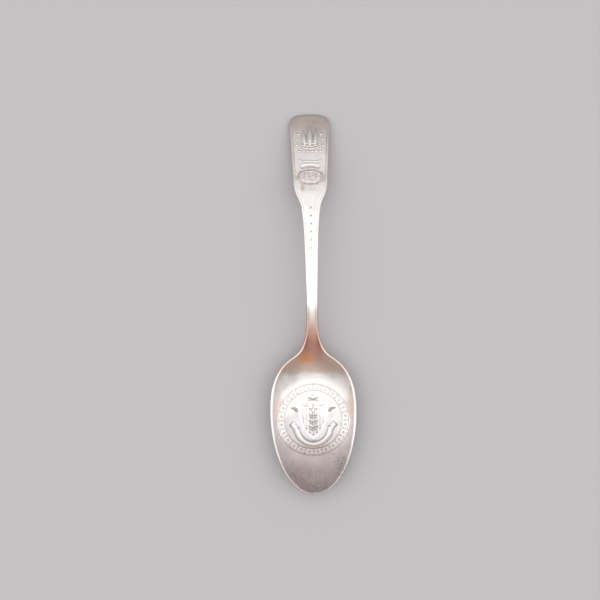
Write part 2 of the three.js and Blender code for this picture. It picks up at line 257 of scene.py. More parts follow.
def top_surface(x, at, depth_in):
    """The upper surface this far in from the outline, rounded down at the edge."""
    fall = RIM_FALL * np.clip(1 - depth_in / RIM_WIDTH, 0, 1) ** 1.5
    half_edge = (edge_thickness(np.maximum(at, BOWL_WIDEST)) - RIM_FALL) / 2
    return dish(x, at) - fall - edge_round(depth_in, half_edge) - thread_groove(at, depth_in)


def under_surface(x, at, depth_in):
    """The underside this far in from the outline, rounded up at the edge and worn flat on the table."""
    along = np.maximum(at, BOWL_WIDEST)
    tip = np.clip(BOWL_WIDEST - at, 0, None) / BOWL_WIDEST
    edge = middle_height(along) + hollow(along) - edge_thickness(along)
    middle = middle_height(along) - thickness(along)
    across2 = np.clip((x / np.maximum(0.4, half_width(along))) ** 2 + tip**2, 0, 1)
    plain = middle + TIP_LIFT * tip**2 + (edge - middle) * across2
    half_edge = (edge_thickness(along) - RIM_FALL) / 2
    return np.maximum(0, plain) + edge_round(depth_in, half_edge)


# --- Meshes ---

DEPTH_NAME = "depth_in"  # the attribute that holds how far in from the outline a corner lies
MERGE_DISTANCE = 2e-7  # metres
COLLAPSED_EDGE = 1e-7  # metres
FLAT_CROSS = 1e-16  # square metres: a face whose diagonals' cross product is smaller has no area
ON_CUT = 0.001  # millimetres: a face this close to the seam's station is the seam's own


def in_frame(x, at, z):
    """Millimetres across, along and up as points of the frame, in metres."""
    x, at, z = np.broadcast_arrays(x, at, z)
    return np.stack([x * MM, cad_low.y + at * MM, z * MM], -1)


def grid_faces(index, wrap=False):
    """Quads over a 2-D array of vertex numbers, joined round its columns if wrap."""
    if wrap:
        index = np.concatenate([index, index[:, :1]], 1)
    corners = [index[:-1, :-1], index[:-1, 1:], index[1:, 1:], index[1:, :-1]]
    return np.stack(corners, -1).reshape(-1, 4)


def mesh_object(name, points, faces, depth_in=None):
    """A smooth-shaded closed mesh from points in metres: coincident points merged, faces outwards.

    depth_in, millimetres in from the outline, is kept at each point for the material.
    """
    mesh = bpy.data.meshes.new(name)
    work = bmesh.new()
    layer = work.verts.layers.float.new(DEPTH_NAME)
    corners = [work.verts.new(point) for point in points]
    if depth_in is not None:
        for corner, depth in zip(corners, depth_in):
            corner[layer] = depth
    for face in faces:
        work.faces.new([corners[i] for i in face])
    bmesh.ops.remove_doubles(work, verts=work.verts, dist=MERGE_DISTANCE)
    bmesh.ops.dissolve_degenerate(work, edges=work.edges, dist=COLLAPSED_EDGE)
    bmesh.ops.recalc_face_normals(work, faces=work.faces)
    work.to_mesh(mesh)
    work.free()
    mesh.polygons.foreach_set("use_smooth", np.ones(len(mesh.polygons), bool))
    made = bpy.data.objects.new(name, mesh)
    bpy.context.scene.collection.objects.link(made)
    return made


def drop_flat(faces, points):
    """The faces without those that have no area, such as a seam's where its two heights meet."""
    diagonals = points[faces[:, 2]] - points[faces[:, 0]], points[faces[:, 3]] - points[faces[:, 1]]
    return faces[np.linalg.norm(np.cross(*diagonals), axis=1) > FLAT_CROSS]


# How far in from the outline the rings of the edge lie: close together where it is rounded.
EDGE_DEPTHS = np.concatenate([
    EDGE_ROUND * (1 - np.cos(np.linspace(0, np.pi / 2, 8))),
    np.linspace(EDGE_ROUND, EDGE_ZONE, 15)[1:],
])


def blank(name, stations, rungs, cut_first):
    """Bowl or handle: its edge in rings along the outline, and straight rungs between the two sides.

    One end of the stations is the seam at the neck, and the other closes to a point.
    """
    x_side = half_width(stations)
    step_in = inward(stations)
    rings_x = x_side[:, None] + step_in[:, :1] * EDGE_DEPTHS
    rings_at = stations[:, None] + step_in[:, 1:] * EDGE_DEPTHS
    share = np.linspace(-1, 1, rungs + 1)[1:-1]
    inner_x = rings_x[:, -1:] * share
    inner_at = np.repeat(rings_at[:, -1:], rungs - 1, 1)
    inner_depth = np.full(inner_x.shape, EDGE_DEPTHS[-1])
    ring_depth = np.broadcast_to(EDGE_DEPTHS, rings_x.shape)
    x = np.concatenate([-rings_x, inner_x, rings_x[:, ::-1]], 1)
    at = np.concatenate([rings_at, inner_at, rings_at[:, ::-1]], 1)
    depth_in = np.concatenate([ring_depth, inner_depth, ring_depth[:, ::-1]], 1)
    top = top_surface(x, at, depth_in)
    under = under_surface(x, at, depth_in)
    for side in (0, -1):
        top[:, side] = under[:, side] = (top[:, side] + under[:, side]) / 2
    index = np.arange(x.size).reshape(x.shape)
    seam = 0 if cut_first else -1
    cap = np.stack([index[seam], index[seam] + x.size])
    faces = [grid_faces(index), grid_faces(index + x.size), grid_faces(cap)]
    points = np.concatenate([in_frame(x, at, top).reshape(-1, 3), in_frame(x, at, under).reshape(-1, 3)])
    faces = drop_flat(np.concatenate(faces), points)
    made = mesh_object(name, points, faces, np.tile(depth_in.ravel(), 2))
    part_cut(made, stations[seam])
    return made


def part_cut(made, station):
    """Gives the flat cut at a station its own corners, so that the faces round it keep their shading."""
    work = bmesh.new()
    work.from_mesh(made.data)
    cut = set()
    for face in work.faces:
        off_cut = abs(station_of(face.calc_center_median().y) - station)
        if off_cut < ON_CUT:
            cut.add(face)
    border = [edge for edge in work.edges if len(cut.intersection(edge.link_faces)) == 1]
    bmesh.ops.split_edges(work, edges=border)
    work.to_mesh(made.data)
    work.free()


def bowl_blank():
    turn = np.linspace(0, np.pi / 2, 110)
    tip = BOWL_WIDEST * (1 - np.cos(turn))
    shoulder = np.linspace(BOWL_WIDEST, NECK, 110)[1:]
    return blank("bowl_shell", np.concatenate([tip, shoulder]), 90, cut_first=False)


def handle_blank():
    straight = np.linspace(NECK, END_WIDEST, 330)
    turn = np.linspace(0, np.pi / 2, 50)[1:]
    corner = END_WIDEST + END_CORNER_LENGTH * np.sin(turn)
    return blank("handle_bar", np.concatenate([straight, corner]), 26, cut_first=True)


# --- Relief: closed shells draped on the spoon's surface ---

SINK = 0.12  # how deep a relief's foot is let into the metal


class Relief:
    """Draped shells that become one piece. Lifts are heights over the spoon's surface, raised by base."""

    def __init__(self, name, base=0.0):
        self.name = name
        self.base = base
        self.points = []
        self.faces = []
        self.count = 0

    def sheet(self, x, at, lift, wrap=False):
        """A shell from grids of places and lifts; wrap joins each row's end to its start."""
        x, at, lift = np.broadcast_arrays(x, at, lift)
        ground = dish(x, at) + self.base
        top = in_frame(x, at, ground + lift).reshape(-1, 3)
        foot = in_frame(x, at, ground - SINK).reshape(-1, 3)
        index = np.arange(x.size).reshape(x.shape) + self.count
        below = index + x.size
        faces = [grid_faces(index, wrap), grid_faces(below, wrap)]
        borders = [(index[-1], below[-1]), (index[0], below[0])]
        if not wrap:
            borders += [(index[:, 0], below[:, 0]), (index[:, -1], below[:, -1])]
        for upper, lower in borders:
            faces.append(grid_faces(np.stack([upper, lower]), wrap))
        self.points.append(np.concatenate([top, foot]))
        self.faces.append(np.concatenate(faces))
        self.count += 2 * x.size

    def mound(self, outline, height, profile, rings=8):
        """A raised form inside a closed outline; profile takes 0 at its middle to 1 at its rim."""
        outline = np.asarray(outline, float)
        middle = outline.mean(0)
        share = np.sin(np.linspace(0, np.pi / 2, rings + 1))[:, None]
        x = middle[0] + share * (outline[:, 0] - middle[0])
        at = middle[1] + share * (outline[:, 1] - middle[1])
        self.sheet(x, at, height * profile(share), wrap=True)

    def band(self, path, half, height, profile, across=8, closed=False):
        """A strip along a path; profile takes -1 to 1 across it. half and height may vary along it."""
        path = np.asarray(path, float)
        ahead = np.gradient(path, axis=0)
        if closed:
            ahead = np.roll(path, -1, 0) - np.roll(path, 1, 0)
        ahead /= np.linalg.norm(ahead, axis=1, keepdims=True)
        share = np.linspace(-1, 1, across + 1)[:, None]
        x = path[:, 0] + ahead[:, 1] * half * share
        at = path[:, 1] - ahead[:, 0] * half * share
        self.sheet(x, at, height * profile(share), wrap=closed)

    def piece(self):
        points = np.concatenate(self.points)
        faces = drop_flat(np.concatenate(self.faces), points)
        return mesh_object(self.name, points, faces)


def rounded(share):
    """A domed profile that is 1 in the middle and falls to 0 at its rim."""
    return np.sqrt(np.clip(1 - share**2, 0, 1))


def flat_topped(share):
    """A flat top with a rounded shoulder."""
    return np.clip(1 - np.abs(share) ** 6, 0, 1) ** 0.5


def rimmed(share):
    """A sunken middle inside a raised border."""
    border = np.exp(-(((np.abs(share) - 0.86) / 0.07) ** 2))
    return np.clip(0.4 + 0.6 * border, 0, 1) * flat_topped(share)


def placed(across, along, x, at, turn):
    """An outline's points turned about its middle, which is then moved to (x, at)."""
    turned_x = across * np.cos(turn) - along * np.sin(turn)
    turned_at = across * np.sin(turn) + along * np.cos(turn)
    return np.stack([x + turned_x, at + turned_at], 1)


def ellipse(x, at, half_x, half_at, count=32, turn=0.0):
    angle = np.linspace(0, 2 * np.pi, count, endpoint=False)
    return placed(half_x * np.cos(angle), half_at * np.sin(angle), x, at, turn)


def rounded_box(x, at, half_x, half_at, count=32, turn=0.0):
    """A superellipse close to a rectangle."""
    circle = ellipse(0, 0, 1, 1, count)
    squared = np.sign(circle) * np.abs(circle) ** 0.45
    return placed(squared[:, 0] * half_x, squared[:, 1] * half_at, x, at, turn)


def smooth_path(points, count):
    """A smooth open line through a few points, evenly spaced."""
    points = np.array(points, float)
    reach = np.concatenate([[0], np.cumsum(np.linalg.norm(np.diff(points, axis=0), axis=1))])
    start = (points[1] - points[0]) / (reach[1] - reach[0])
    end = (points[-1] - points[-2]) / (reach[-1] - reach[-2])
    even = np.linspace(0, reach[-1], count)
    columns = [
        clamped_spline(list(zip(reach, points[:, i])), start[i], end[i])(even) for i in (0, 1)
    ]
    return np.stack(columns, 1)


def mirrored_outline(right, count=80):
    """A closed smooth-sided outline from its right half's points, bottom to top."""
    line = smooth_path(right, count // 2)
    left = line[::-1] * [-1, 1]
    return np.concatenate([line, left[1:-1]])


def node_centre(node):
    """The middle of a node's box as (across, station), and its half sizes."""
    low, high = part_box(node)
    middle = (low + high) / 2
    half = (high - low) / 2
    return middle.x / MM, station_of(middle.y), half.x / MM, half.y / MM


_, MEDAL_AT, MEDAL_RADIUS, _ = node_centre("medal_border")
_, CARTOUCHE_AT, CARTOUCHE_HALF_X, CARTOUCHE_HALF_AT = node_centre("oval_cartouche")
MEDAL_BORDER_WIDTH = 3
MEDAL_BARS = 24  # radial bars round the border, with a bead after each


def medal_border():
    """A flat ring with a raised line along both edges, and bars and beads between them."""
    relief = Relief("medal_ring")
    inner = MEDAL_RADIUS - MEDAL_BORDER_WIDTH
    middle = MEDAL_RADIUS - MEDAL_BORDER_WIDTH / 2
    rings = [
        (middle, MEDAL_BORDER_WIDTH / 2, 0.12, flat_topped, 10),
        (MEDAL_RADIUS - 0.3, 0.32, 0.3, rounded, 6),
        (inner + 0.2, 0.22, 0.36, rounded, 6),
    ]
    for radius, half, height, profile, across in rings:
        ring = ellipse(0, MEDAL_AT, radius, radius, 160)
        relief.band(ring, half, height, profile, across, closed=True)
    for i in range(MEDAL_BARS):
        turn = 2 * np.pi * i / MEDAL_BARS
        between = turn + np.pi / MEDAL_BARS
        bar = rounded_box(middle * np.sin(turn), MEDAL_AT + middle * np.cos(turn), 0.32, 0.85, 24, -turn)
        relief.mound(bar, 0.42, flat_topped, 5)
        bead_x = middle * np.sin(between)
        bead_at = MEDAL_AT + middle * np.cos(between)
        relief.mound(ellipse(bead_x, bead_at, 0.48, 0.6, 20, -between), 0.4, rounded, 5)
    return relief


def medal_shield():
    """A plain rimmed shield with upright flutes."""
    relief = Relief("medal_shield_plate")
    outline = mirrored_outline([
        (0, 20.9), (2.4, 22.7), (4.3, 25.7), (5.5, 29.5), (5.9, 33.7), (5.2, 35.7), (2.6, 34.8), (0, 35.5),
    ])
    relief.mound(outline, 0.42, rimmed, 14)
    flutes = 7
    for i in range(flutes):
        x = 1.35 * (i - (flutes - 1) / 2)
        low = 23.4 + 0.28 * x * x
        flute = [(x, at) for at in np.linspace(low, 33.5, 14)]
        relief.band(flute, 0.3, 0.44, rounded, 5)
    return relief


def leaf(relief, x, at, length, width, turn, height):
    """A pointed leaf with a ridge down its middle, growing from (x, at)."""
    share = np.linspace(0, 1, 16)
    path = np.stack([x + length * share * np.sin(turn), at + length * share * np.cos(turn)], 1)
    half = width * np.sin(np.pi * share) ** 0.8 + 0.03
    relief.band(path, half, height * np.sin(np.pi * share) ** 0.4, lambda across: 1 - np.abs(across), 6)


SPRIG_BASE = 0.3  # the sprig stands this far above the bowl's surface, on the shield


def medal_sprig():
    """A stem with three pairs of leaves and one at its top."""
    relief = Relief("medal_leaf_sprig", SPRIG_BASE)
    relief.band(smooth_path([(0, 23.1), (0.15, 28.1), (0, 33.7)], 24), 0.24, 0.42, rounded, 6)
    for i, at in enumerate((24.7, 27.1, 29.5)):
        for side in (-1, 1):
            leaf(relief, 0, at, 2.9 - 0.25 * i, 0.62, side * 0.75, 0.5)
    leaf(relief, 0, 31.3, 3, 0.7, 0, 0.55)
    return relief


def medal_ribbon():
    """A blank ribbon bent into a U under the shield, with its two ends turned outwards."""
    relief = Relief("medal_ribbon_band")
    bend = 7.1
    low = 19.4
    turn = np.linspace(-1.35, 1.35, 60)
    path = np.stack([bend * np.sin(turn), low + 8.2 * (1 - np.cos(turn))], 1)
    tail = (bend + 1.5, low + 8.6)
    whole = smooth_path([(-tail[0], tail[1]), *path[::6], tuple(path[-1]), tail], 90)
    relief.band(whole, 0.95, 0.6, lambda across: 0.4 + 0.6 * np.abs(across) ** 3, 10)
    return relief


def medal_stroke(side, way):
    """A short curved stroke beside the shield's shoulder, thickest a little below its middle."""
    relief = Relief(way + "_stroke")
    steps = 36
    points = [(8.9, 34.1), (7.7, 33.9), (6.8, 33.3), (6.2, 32.5)]
    stroke = smooth_path([(side * x, at) for x, at in points], steps)
    half = 0.12 + 0.4 * np.sin(np.pi * np.linspace(0, 1, steps) ** 1.4)
    relief.band(stroke, half, 0.5, rounded, 6)
    return relief


def medal_crest():
    """A twisted torse, and over it a knop between two leaves."""
    relief = Relief("medal_crest_knop")
    for i in range(6):
        x = 0.78 * (i - 2.5)
        relief.mound(ellipse(x, 36.85, 0.5, 0.32, 16, 0.5), 0.4, rounded, 4)
    relief.mound(ellipse(0, 38.2, 1.1, 1.1), 0.5, rounded, 6)
    for side in (-1, 1):
        leaf(relief, side * 0.9, 37.4, 1.9, 0.4, side * 1.0, 0.4)
    return relief


def crest_palmette():
    """Three upright leaves on a foot of three curved bands, with a row of beads under it."""
    relief = Relief("crest_three_leaves")
    leaf(relief, 0, 138.2, 9, 1.25, 0, 0.6)
    for side in (-1, 1):
        leaf(relief, side * 1.9, 138.2, 7.8, 1.05, side * 0.09, 0.56)
    for at, half in ((139.9, 2.6), (138.9, 3.3), (137.9, 3.2)):
        path = smooth_path([(-half, at + 0.4), (0, at - 0.15), (half, at + 0.4)], 24)
        relief.band(path, 0.36, 0.42, rounded, 6)
    for x in (-2.4, -0.9, 0.9, 2.4):
        relief.mound(ellipse(x, 136.6, 0.62, 0.5, 20), 0.4, rounded, 5)
    return relief


def stud(node):
    """A bead a little larger than its node."""
    x, at, half, _ = node_centre(node)
    relief = Relief(node.replace("crest_stud", "bead"))
    relief.mound(ellipse(x, at, half * 1.3, half * 1.1, 24), 0.55, rounded, 6)
    return relief


def banner():
    """A blank banner: a long upper fold with raised ends over a shorter, arched lower one."""
    relief = Relief("banner_scroll")
    upper = smooth_path(
        [(-4.5, 133.3), (-3.9, 132.7), (-2, 132.45), (2, 132.45), (3.9, 132.7), (4.5, 133.3)], 44
    )
    relief.band(upper, 0.42, 0.42, rounded, 8)
    lower = smooth_path([(-3.7, 130), (-2, 130.5), (2, 130.5), (3.7, 130)], 40)
    relief.band(lower, 0.6, 0.5, lambda across: 0.7 + 0.3 * np.abs(across) ** 4, 8)
    return relief


def cartouche():
    """A rimmed oval with three wavy lines in it."""
    relief = Relief("cartouche_oval")
    field = ellipse(0, CARTOUCHE_AT, CARTOUCHE_HALF_X - 0.4, CARTOUCHE_HALF_AT - 0.3, 64)
    relief.mound(field, 0.16, flat_topped, 10)
    rim = ellipse(0, CARTOUCHE_AT, CARTOUCHE_HALF_X - 0.4, CARTOUCHE_HALF_AT - 0.4, 96)
    relief.band(rim, 0.36, 0.46, rounded, 6, closed=True)
    for i, (row, reach) in enumerate(((0.95, 2.5), (0.0, 3.1), (-0.95, 2.5))):
        steps = np.linspace(-reach, reach, 30)
        wave = CARTOUCHE_AT + row + 0.16 * np.sin(steps * 2.4 + i)
        relief.band(np.stack([steps, wave], 1), 0.24, 0.36, rounded, 5)
    return relief


def cartouche_bar():
    x, at, half_x, half_at = node_centre("cartouche_bar")
    relief = Relief("bar_under_cartouche")
    relief.mound(rounded_box(x, at, half_x, half_at, 40), 0.34, flat_topped, 6)
    return relief


def lozenge(node):
    """A low four-sided pyramid as large as its node."""
    x, at, half_x, half_at = node_centre(node)
    relief = Relief(node.replace("stem_lozenge", "diamond"))
    corners = [(half_x, 0), (0, half_at), (-half_x, 0), (0, -half_at)]
    outline = []
    for (x0, at0), (x1, at1) in zip(corners, corners[1:] + corners[:1]):
        for share in np.linspace(0, 1, 8, endpoint=False):
            outline.append((x + x0 + (x1 - x0) * share, at + at0 + (at1 - at0) * share))
    relief.mound(outline, 0.25, lambda share: 1 - share, 5)
    return relief


# --- Materials ---

SILVER = (0.86, 0.835, 0.81)
# Painted highlight colour, for the bowl's bright band and the handle's shoulder edges.
PAINTED_HIGHLIGHT = (0.94, 0.93, 0.91)
RIM_SILVER = (0.76, 0.69, 0.67)
CREAM = (0.78, 0.70, 0.64)
PALE_MAUVE = (0.68, 0.62, 0.63)
MAUVE = (0.60, 0.53, 0.54)
LILAC_GREY = (0.56, 0.53, 0.55)
DULL_MAUVE = (0.42, 0.365, 0.36)
DEEP_MAUVE = (0.23, 0.195, 0.19)
DULL_STRAW = (0.47, 0.41, 0.36)
STRAW = (0.60, 0.52, 0.41)
BROWN = (0.36, 0.27, 0.21)
COPPERY_BROWN = (0.74, 0.55, 0.43)  # a coppery brown
COPPER = (0.68, 0.36, 0.28)
ORANGE = (0.86, 0.42, 0.20)
PINK = (0.78, 0.60, 0.54)
PALE_GREEN = (0.72, 0.72, 0.62)
OXIDE_AND_SHADE = (0.15, 0.16, 0.12)  # dark spots, and painted shade in the medal


class Graph:
    """A short way to write a metal's nodes. Places are in millimetres, as (across, station, height)."""

    def __init__(self, name):
        self.material = bpy.data.materials.new(name)
        self.material.use_nodes = True
        self.tree = self.material.node_tree
        self.shader = self.tree.nodes["Principled BSDF"]
        self.shader.inputs["Metallic"].default_value = 1
        where = self.add("ShaderNodeTexCoord").outputs["Object"]
        moved = self.add("ShaderNodeVectorMath", operation="SUBTRACT")
        self.set(moved, 0, where)
        self.set(moved, 1, (0, cad_low.y, 0))
        scaled = self.add("ShaderNodeVectorMath", operation="SCALE")
        self.set(scaled, 0, moved.outputs[0])
        scaled.inputs["Scale"].default_value = 1 / MM
        self.place = scaled.outputs[0]
        apart = self.add("ShaderNodeSeparateXYZ")
        self.set(apart, 0, self.place)
        self.across, self.along, _ = apart.outputs

    def add(self, kind, **settings):
        node = self.tree.nodes.new(kind)
        for key, value in settings.items():
            setattr(node, key, value)
        return node

    def set(self, node, key, value):
        if isinstance(value, bpy.types.NodeSocket):
            self.tree.links.new(value, node.inputs[key])
        else:
            node.inputs[key].default_value = value

    def maths(self, operation, a, b=0.0, clamp=False):
        node = self.add("ShaderNodeMath", operation=operation, use_clamp=clamp)
        self.set(node, 0, a)
        self.set(node, 1, b)
        return node.outputs[0]

    def share(self, value, amount):
        """The value times an amount."""
        return self.maths("MULTIPLY", value, amount)

    def noise(self, size, detail=3.0, stretch=(1, 1, 1), shift=0.0):
        """Noise from about 0 to 1 whose blotches are about size millimetres across.

        stretch is how many times longer they are along each axis, and shift picks another pattern.
        """
        node = self.add("ShaderNodeTexNoise")
        stretched = self.add("ShaderNodeVectorMath", operation="MULTIPLY_ADD")
        self.set(stretched, 0, self.place)
        self.set(stretched, 1, tuple(1 / (size * way) for way in stretch))
        self.set(stretched, 2, (shift, shift * 0.7, shift * 1.3))
        self.set(node, "Vector", stretched.outputs[0])
        node.inputs["Scale"].default_value = 1
        node.inputs["Detail"].default_value = detail
        return node.outputs["Fac"]

    def ramp(self, value, low, high):
        """Rises smoothly from 0 at low to 1 at high; falls if high is the smaller."""
        node = self.add("ShaderNodeMapRange", interpolation_type="SMOOTHSTEP")
        self.set(node, "Value", value)
        node.inputs["From Min"].default_value = min(low, high)
        node.inputs["From Max"].default_value = max(low, high)
        node.inputs["To Min"].default_value = 0 if low < high else 1
        node.inputs["To Max"].default_value = 1 if low < high else 0
        return node.outputs[0]

    def patch(self, x, at, half_x, half_at, soft=0.5, wobble=0.35):
        """1 inside an oval patch and 0 outside. soft and wobble are shares of its half sizes."""
        dx = self.maths("DIVIDE", self.maths("SUBTRACT", self.across, x), half_x)
        dy = self.maths("DIVIDE", self.maths("SUBTRACT", self.along, at), half_at)
        radius2 = self.maths("ADD", self.maths("MULTIPLY", dx, dx), self.maths("MULTIPLY", dy, dy))
        blotches = self.noise(min(half_x, half_at) * 0.6, 4)
        uneven = self.share(self.maths("SUBTRACT", blotches, 0.5), 2 * wobble)
        return self.ramp(self.maths("ADD", self.maths("SQRT", radius2), uneven), 1 + soft, 1 - soft)

    def wandering(self, size, reach, shift):
        """The station moved by noise, up to half of reach either way, so that a ramp along it is uneven."""
        uneven = self.share(self.maths("SUBTRACT", self.noise(size, 4, shift=shift), 0.5), reach)
        return self.maths("ADD", self.along, uneven)

    def stained(self, colour, tint, where, amount):
        """The colour with a tint over it. where runs from 0 to 1, and amount is the tint's share at 1."""
        node = self.add("ShaderNodeMix", data_type="RGBA")
        self.set(node, 0, self.share(where, amount))
        for key, value in ((6, colour), (7, tint)):
            self.set(node, key, (*value, 1) if isinstance(value, tuple) else value)
        return node.outputs[2]

    def near_edge(self, full, none):
        """1 closer to the outline than full millimetres, 0 further in than none."""
        depth = self.add("ShaderNodeAttribute", attribute_name=DEPTH_NAME)
        return self.ramp(depth.outputs["Fac"], none, full)

    def deeper(self, none, full):
        """0 closer to the outline than none millimetres, 1 further in than full."""
        return self.maths("SUBTRACT", 1.0, self.near_edge(none, full))

    def crevices(self, distance):
        """1 deep in a corner and 0 in the open, at the scale of that many millimetres."""
        node = self.add("ShaderNodeAmbientOcclusion", samples=8)
        node.inputs["Distance"].default_value = distance * MM
        return self.ramp(node.outputs["AO"], 0.95, 0.45)

    def finish(self, colour, roughness, heights):
        """Connects the shader. heights are (value, millimetres) pairs that add up to the relief."""
        self.set(self.shader, "Base Color", colour)
        self.set(self.shader, "Roughness", roughness)
        total = None
        for value, height in heights:
            term = self.share(value, height * MM)
            total = term if total is None else self.maths("ADD", total, term)
        bump = self.add("ShaderNodeBump")
        bump.inputs["Distance"].default_value = 1
        self.set(bump, "Height", total)
        self.set(self.shader, "Normal", bump.outputs[0])
        return self.material


def worn_silver(graph, tarnish):
    """Silver under uneven mauve and straw tarnish."""
    cloudy = graph.ramp(graph.noise(9, 5), 0.45, 0.72)
    blotchy = graph.ramp(graph.noise(3.5, 5, shift=7), 0.52, 0.74)
    colour = graph.stained(SILVER, MAUVE, cloudy, tarnish)
    return graph.stained(colour, STRAW, blotchy, tarnish * 0.7)


def copper_neck(graph, silver):
    """The colour round the neck: dull mauve, brown within that, and copper in the middle of it."""
    along = graph.wandering(3, 5, 31)
    above_bowl = graph.ramp(along, 46.5, 50)
    dull = graph.maths("MULTIPLY", above_bowl, graph.ramp(along, 79, 69))
    brown_band = graph.maths("MULTIPLY", above_bowl, graph.ramp(along, 74, 66))
    copper_middle = graph.maths("MULTIPLY", graph.ramp(along, 50, 55.5), graph.ramp(along, 69, 61))
    middle = graph.ramp(graph.maths("ABSOLUTE", graph.across), 7, 0.5)
    colour = graph.stained(silver, MAUVE, dull, 0.8)
    colour = graph.stained(colour, COPPERY_BROWN, brown_band, 0.85)
    colour = graph.stained(colour, COPPER, graph.maths("MULTIPLY", copper_middle, middle), 0.9)
    colour = graph.stained(colour, ORANGE, graph.patch(-2.4, 54.3, 3.4, 2.1, 0.7), 0.75)
    slim_part = graph.maths("MULTIPLY", graph.ramp(graph.along, 57, 61), graph.ramp(graph.along, 77, 70))
    dull_side = graph.maths("MULTIPLY", graph.near_edge(0.7, 1.9), slim_part)
    colour = graph.stained(colour, BROWN, dull_side, 0.4)
    bright_rim = graph.maths("MULTIPLY", graph.near_edge(0.3, 0.65), graph.ramp(graph.along, 61, 56))
    return graph.stained(colour, silver, bright_rim, 0.9)


def struck_surface(graph):
    scratches = graph.noise(0.35, 2, stretch=(1, 9, 1))
    crossed = graph.noise(0.4, 2, stretch=(8, 1, 1), shift=3)
    pits = graph.ramp(graph.noise(0.5, 3, shift=11), 0.66, 0.8)
    waves = graph.noise(5, 2, shift=5)
    return [(scratches, 0.006), (crossed, 0.004), (pits, -0.012), (waves, 0.05)]


def smudged(graph, low=0.28, high=0.44):
    """Roughness from low to high, where the plate is smudged."""
    smudges = graph.ramp(graph.noise(6, 5, shift=19), 0.35, 0.7)
    return graph.maths("ADD", graph.share(smudges, high - low), low)


def duller_towards_tip(graph, colour):
    """Duller and duller towards the bowl's tip."""
    along = graph.wandering(6, 7, 13)
    colour = graph.stained(colour, DULL_MAUVE, graph.ramp(along, 27, 14), 0.95)
    return graph.stained(colour, DEEP_MAUVE, graph.ramp(along, 17, 3), 0.95)


def duller_towards_end(graph, colour, amount):
    """Duller towards the handle's end."""
    return graph.stained(colour, DULL_STRAW, graph.ramp(graph.wandering(5, 8, 17), 134, 150), amount)


# Stains in the bowl: place, half sizes, strength and colour.
BOWL_STAINS = [
    (15.2, 35.5, 1.6, 5.0, 0.5, COPPERY_BROWN),
    (14.4, 29.2, 1.2, 1.8, 0.6, PALE_GREEN),
    (9, 47.5, 3, 2, 0.4, MAUVE),
    (10.8, 12.5, 2.2, 3.4, 0.3, OXIDE_AND_SHADE),
    (-14, 36, 1.6, 7, 0.5, PINK),
    (-8, 11, 5, 2.5, 0.25, DEEP_MAUVE),
]

# Where dark spots are scattered in the bowl: place, half sizes and strength.
SPOTTED_PARTS = [(10.5, 12.5, 3.4, 4.5, 0.95), (1, 2.6, 6, 2, 0.9), (-7, 9, 4, 3, 0.5)]

# Painted shade and dirt by the medal's two strokes, over its shield and along its ribbon: place and half
# sizes.
SHADE_AND_DIRT_MARKS = [
    (7.7, 33.7, 1.3, 0.55), (-7.7, 33.7, 1.3, 0.55), (6.7, 32.9, 0.75, 0.6), (-6.7, 32.9, 0.75, 0.6),
    (0.1, 34.7, 0.5, 0.5), (-1.1, 33.5, 0.5, 0.4), (1.1, 33.4, 0.6, 0.4), (-2.6, 35.5, 0.8, 0.35),
    (6.7, 26.6, 0.9, 0.45), (-6.2, 26.0, 0.7, 0.5), (0.3, 20.9, 0.9, 0.3),
]


def shade_and_dirt_marks(graph, colour):
    """Painted shade and dirt in the medal's deepest places, and a painted shadow line along the ribbon's
    inner edge.
    """
    for x, at, half_x, half_at in SHADE_AND_DIRT_MARKS:
        colour = graph.stained(colour, OXIDE_AND_SHADE, graph.patch(x, at, half_x, half_at, 0.5, 0.3), 0.5)
    # Painted shadow: a dark line along the ribbon's inner edge.
    inner = graph.patch(0, MEDAL_AT - 1.5, 5.8, 6.9, 0.05, 0.08)
    outer = graph.patch(0, MEDAL_AT - 1.5, 6.4, 7.5, 0.05, 0.08)
    line = graph.maths("SUBTRACT", outer, inner, clamp=True)
    line = graph.maths("MULTIPLY", line, graph.ramp(graph.along, 27, 25.5))
    return graph.stained(colour, DEEP_MAUVE, line, 0.6)


def bowl_material():
    graph = Graph("bowl_silver")
    colour = worn_silver(graph, 0.35)
    aside = graph.ramp(graph.maths("ABSOLUTE", graph.across), 10, 14.5)
    colour = graph.stained(colour, CREAM, aside, 0.7)
    colour = graph.stained(colour, PALE_MAUVE, graph.ramp(graph.wandering(4, 5, 37), 35.5, 26.5), 0.85)
    # Painted highlight: a bright band across the bowl round station 40.
    colour = graph.stained(colour, PAINTED_HIGHLIGHT, graph.patch(0, 40, 15.5, 4.8, 0.4), 0.9)
    colour = duller_towards_tip(graph, colour)
    for x, at, half_x, half_at, amount, tint in BOWL_STAINS:
        colour = graph.stained(colour, tint, graph.patch(x, at, half_x, half_at, 0.6), amount)
    streaks = graph.ramp(graph.noise(0.7, 3, stretch=(1, 7, 1), shift=29), 0.4, 0.7)
    streaks = graph.maths("MULTIPLY", streaks, graph.ramp(graph.along, 32, 20))
    colour = graph.stained(colour, DULL_MAUVE, streaks, 0.28)
    colour = graph.stained(colour, RIM_SILVER, graph.near_edge(0.35, 0.75), 0.8)
    colour = copper_neck(graph, colour)
    colour = graph.stained(colour, LILAC_GREY, graph.patch(0, MEDAL_AT - 1.9, 11, 8.2, 0.3, 0.15), 0.8)
    colour = graph.stained(colour, BROWN, graph.crevices(0.9), 0.85)
    colour = shade_and_dirt_marks(graph, colour)
    spots = graph.ramp(graph.noise(1.1, 4, shift=23), 0.56, 0.66)
    for x, at, half_x, half_at, amount in SPOTTED_PARTS:
        near = graph.patch(x, at, half_x, half_at, 0.8)
        colour = graph.stained(colour, OXIDE_AND_SHADE, graph.maths("MULTIPLY", near, spots), amount)
    return graph.finish(colour, smudged(graph), struck_surface(graph))


